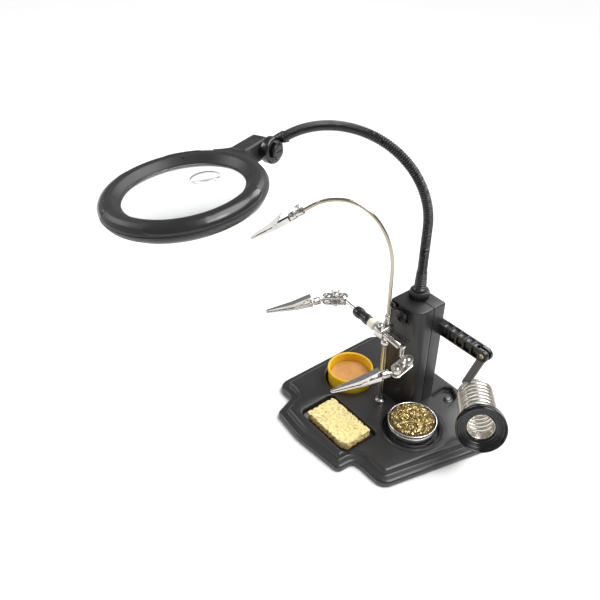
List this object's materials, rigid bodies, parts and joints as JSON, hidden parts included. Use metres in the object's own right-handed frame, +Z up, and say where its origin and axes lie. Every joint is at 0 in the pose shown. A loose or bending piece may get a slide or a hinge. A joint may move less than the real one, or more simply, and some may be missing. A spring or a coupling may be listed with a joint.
{
  "type": "soldering iron station",
  "caption": "Soldering stand: weighted base with flux tub, sponge and brass wool, LED magnifier on a gooseneck, clips on a post and a wire, and a spring iron holder on a folding arm.",
  "frame": {"origin": "on the table under the middle of the whole object's box", "axes": "+Z up, -Y towards the user (the base's front tongue), +X to the user's right (wool tin and iron holder side)"},
  "size_m": [0.3268, 0.3166, 0.3176],
  "materials": {
    "base_plastic": "fine textured charcoal, soft sheen",
    "gloss_black": "polished black",
    "rubber_pad": "matt",
    "nickel": "bright nickel plate",
    "ballast": "zinc plated",
    "grey_paint": "satin dark grey paint",
    "clear_lens": "clear, polished",
    "yellow_plastic": "moulded, slightly translucent yellow",
    "flux": "waxy tan flux standing in as a soft plastic",
    "sponge": "open-pored cellulose",
    "brass_wool": "curled shavings",
    "tin_steel": "polished tinplate",
    "white_board": "white solder mask",
    "cell_label": "plain printed sleeve"
  },
  "bodies": {
    "stand": {"base_shell": "base_plastic", "ballast_plate": "ballast", "rubber_foot_1": "rubber_pad", "rubber_foot_2": "rubber_pad", "rubber_foot_3": "rubber_pad", "rubber_foot_4": "rubber_pad", "pocket_screw": "nickel", "post": "nickel", "column_front_shell": "base_plastic", "column_rear_shell": "base_plastic", "battery_cell_1": "cell_label", "battery_cell_2": "cell_label", "battery_cell_3": "cell_label", "power_jack": "gloss_black", "neck_collar": "base_plastic", "neck_foot_sleeve": "base_plastic"},
    "tub": {"flux_tub": "yellow_plastic", "flux_cake": "flux"},
    "tin": {"wool_tin": "tin_steel", "brass_wool": "brass_wool"},
    "sponge": {"sponge": "sponge"},
    "rocker": {"rocker_switch": "gloss_black"},
    "neck_lower": {"neck_lower_tube": "gloss_black"},
    "neck_middle": {"neck_middle_tube": "gloss_black"},
    "neck_upper": {"neck_upper_tube": "gloss_black", "neck_end_sleeve": "base_plastic", "lamp_yoke": "base_plastic"},
    "lamp": {"lamp_upper_frame": "base_plastic", "lamp_lower_frame": "base_plastic", "main_lens": "clear_lens", "inset_lens": "clear_lens", "led_board": "white_board"},
    "tilt_knob": {"tilt_knob": "nickel"},
    "swivel": {"swivel_block": "nickel"},
    "lock_screw": {"lock_screw": "nickel"},
    "bar": {"cross_bar": "nickel", "bar_elbow": "nickel"},
    "clamp_knob": {"clamp_knob": "base_plastic"},
    "left_clamp": {"left_clamp_top_plate": "nickel", "left_clamp_bottom_plate": "nickel"},
    "left_wing_screw": {"left_wing_screw": "nickel"},
    "left_clip": {"left_clip_ferrule": "nickel", "left_clip_fixed_jaw": "nickel"},
    "left_jaw": {"left_clip_sprung_jaw": "nickel"},
    "right_clamp": {"right_clamp_top_plate": "nickel", "right_clamp_bottom_plate": "nickel"},
    "right_wing_screw": {"right_wing_screw": "nickel"},
    "right_clip": {"right_clip_ferrule": "nickel", "right_clip_fixed_jaw": "nickel"},
    "right_jaw": {"right_clip_sprung_jaw": "nickel"},
    "wire_foot": {"wire_lower": "nickel"},
    "wire_end": {"wire_upper": "nickel"},
    "wire_clip": {"wire_clip_ferrule": "nickel", "wire_clip_fixed_jaw": "nickel"},
    "wire_jaw": {"wire_clip_sprung_jaw": "nickel"},
    "folding_arm": {"ribbed_arm": "base_plastic"},
    "folding_link": {"folding_link": "grey_paint"},
    "holder": {"holder_coil": "nickel", "holder_funnel": "gloss_black"}
  },
  "joints": [
    {"name": "tub_lift", "type": "slide", "parent": "stand", "child": "tub", "axis": [0, 0, 1], "range_m": [0, 0.03]},
    {"name": "tin_lift", "type": "slide", "parent": "stand", "child": "tin", "axis": [0, 0, 1], "range_m": [0, 0.03]},
    {"name": "sponge_lift", "type": "slide", "parent": "stand", "child": "sponge", "axis": [0, 0, 1], "range_m": [0, 0.02]},
    {"name": "switch_rock", "type": "hinge", "parent": "stand", "child": "rocker", "pos_m": [0.02384, 0.08765, 0.1302], "axis": [1, 0, 0], "range_deg": [-5, 5]},
    {"name": "neck_foot_bend", "type": "hinge", "parent": "stand", "child": "neck_lower", "pos_m": [0.02044, 0.11225, 0.1733], "axis": [-0.5821, 0.8131, 0], "range_deg": [-12, 20]},
    {"name": "neck_side_bend", "type": "hinge", "parent": "neck_lower", "child": "neck_middle", "pos_m": [0.02044, 0.11225, 0.2225], "axis": [-0.8131, -0.5821, 0], "range_deg": [-18, 18]},
    {"name": "neck_top_bend", "type": "hinge", "parent": "neck_middle", "child": "neck_upper", "pos_m": [-0.05274, 0.05986, 0.3125], "axis": [-0.5821, 0.8131, 0], "range_deg": [-12, 20]},
    {"name": "lamp_tilt", "type": "hinge", "parent": "neck_upper", "child": "lamp", "pos_m": [-0.10036, 0.01834, 0.28404], "axis": [0.9643, 0.249, 0.0905], "range_deg": [-25, 40]},
    {"name": "tilt_knob_turn", "type": "hinge", "parent": "neck_upper", "child": "tilt_knob", "pos_m": [-0.10036, 0.01834, 0.28404], "axis": [0.9643, 0.249, 0.0905], "continuous": true},
    {"name": "post_swivel", "type": "hinge", "parent": "stand", "child": "swivel", "pos_m": [0.01584, 0.07425, 0.1155], "axis": [0, 0, 1], "range_deg": [-45, 15]},
    {"name": "lock_screw_turn", "type": "hinge", "parent": "swivel", "child": "lock_screw", "pos_m": [0.01484, 0.06625, 0.1213], "axis": [0, 0, 1], "continuous": true},
    {"name": "bar_roll", "type": "hinge", "parent": "swivel", "child": "bar", "pos_m": [0.01584, 0.06645, 0.1155], "axis": [0.9965, -0.084, 0], "range_deg": [-30, 25]},
    {"name": "clamp_knob_turn", "type": "hinge", "parent": "bar", "child": "clamp_knob", "pos_m": [0.01584, 0.06645, 0.1155], "axis": [0.9965, -0.084, 0], "continuous": true},
    {"name": "left_clamp_turn", "type": "hinge", "parent": "bar", "child": "left_clamp", "pos_m": [-0.04993, 0.07199, 0.1155], "axis": [0, 0, 1], "range_deg": [-25, 25]},
    {"name": "left_wing_screw_turn", "type": "hinge", "parent": "left_clamp", "child": "left_wing_screw", "pos_m": [-0.05522, 0.06534, 0.1155], "axis": [0, 0, 1], "continuous": true},
    {"name": "left_clip_turn", "type": "hinge", "parent": "left_clamp", "child": "left_clip", "pos_m": [-0.0605, 0.05869, 0.1155], "axis": [0, 0, 1], "range_deg": [-25, 25]},
    {"name": "left_jaw_open", "type": "hinge", "parent": "left_clip", "child": "left_jaw", "pos_m": [-0.0744, 0.0289, 0.11252], "axis": [-0.9062, 0.4229, 0], "range_deg": [0, 16], "stiffness_Nm_per_rad": 0.05, "springref_deg": -11.46},
    {"name": "right_clamp_turn", "type": "hinge", "parent": "bar", "child": "right_clamp", "pos_m": [0.05884, 0.06245, 0.1065], "axis": [0.01, -0.0995, 0.995], "range_deg": [-25, 25]},
    {"name": "right_wing_screw_turn", "type": "hinge", "parent": "right_clamp", "child": "right_wing_screw", "pos_m": [0.05969, 0.05404, 0.10565], "axis": [0.01, -0.0995, 0.995], "continuous": true},
    {"name": "right_clip_turn", "type": "hinge", "parent": "right_clamp", "child": "right_clip", "pos_m": [0.06054, 0.04562, 0.1048], "axis": [0.01, -0.0995, 0.995], "range_deg": [-25, 25]},
    {"name": "right_jaw_open", "type": "hinge", "parent": "right_clip", "child": "right_jaw", "pos_m": [0.04966, 0.01464, 0.1015], "axis": [-0.9435, 0.3312, 0], "range_deg": [0, 16], "stiffness_Nm_per_rad": 0.05, "springref_deg": -11.46},
    {"name": "wire_swivel", "type": "hinge", "parent": "stand", "child": "wire_foot", "pos_m": [0.01584, 0.07425, 0.122], "axis": [0, 0, 1], "range_deg": [-45, 45]},
    {"name": "wire_bend", "type": "hinge", "parent": "wire_foot", "child": "wire_end", "pos_m": [-0.02482, 0.04515, 0.254], "axis": [-0.5821, 0.8131, 0], "range_deg": [-15, 15]},
    {"name": "wire_clip_turn", "type": "hinge", "parent": "wire_end", "child": "wire_clip", "pos_m": [-0.07851, 0.00671, 0.21782], "axis": [-0.6578, -0.4709, -0.5878], "continuous": true},
    {"name": "wire_jaw_open", "type": "hinge", "parent": "wire_clip", "child": "wire_jaw", "pos_m": [-0.07851, 0.00671, 0.21782], "axis": [-0.5821, 0.8131, 0], "range_deg": [0, 16], "stiffness_Nm_per_rad": 0.05, "springref_deg": -11.46},
    {"name": "arm_fold", "type": "hinge", "parent": "stand", "child": "folding_arm", "pos_m": [0.04234, 0.12505, 0.1113], "axis": [0, 1, 0], "range_deg": [-45, 4]},
    {"name": "link_fold", "type": "hinge", "parent": "folding_arm", "child": "folding_link", "pos_m": [0.10144, 0.12505, 0.1113], "axis": [0, 1, 0], "range_deg": [-25, 15]},
    {"name": "holder_tilt", "type": "hinge", "parent": "folding_link", "child": "holder", "pos_m": [0.08634, 0.12505, 0.063], "axis": [0, 1, 0], "range_deg": [-12, 12]}
  ]
}
